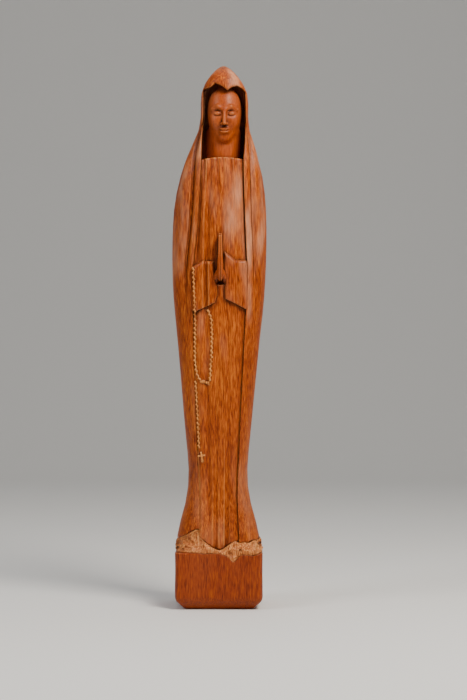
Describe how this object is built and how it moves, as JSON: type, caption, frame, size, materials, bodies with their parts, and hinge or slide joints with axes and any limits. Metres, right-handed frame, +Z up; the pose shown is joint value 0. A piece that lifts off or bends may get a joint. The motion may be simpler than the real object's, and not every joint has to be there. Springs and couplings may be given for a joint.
{
  "type": "madonna statue",
  "caption": "Tall carved wooden madonna statue in a hooded mantle, hands joined in prayer, with a rosary, standing on a square plinth.",
  "frame": {"origin": "centre of the plinth's underside", "axes": "+Z up to the tip of the hood, -Y the way the figure faces, +X towards the figure's left hand"},
  "size_m": [0.0754, 0.0627, 0.43],
  "materials": {
    "plinth_wood": "satin",
    "ground_wood": "rough",
    "mantle_wood": "satin",
    "gown_wood": "satin",
    "face_wood": "satin",
    "worn_wood": "satin"
  },
  "bodies": {
    "root": {"plinth": "plinth_wood", "rock_ground": "ground_wood", "gown": "gown_wood", "mantle": "mantle_wood", "right_lapel": "mantle_wood", "left_lapel": "mantle_wood", "head": "face_wood", "right_sleeve": "gown_wood", "left_sleeve": "gown_wood", "right_hand": "face_wood", "left_hand": "face_wood", "rosary_outer_strand": "worn_wood", "rosary_inner_strand": "worn_wood", "rosary_medal": "worn_wood", "rosary_pendant": "worn_wood", "rosary_cross": "worn_wood"}
  },
  "joints": []
}
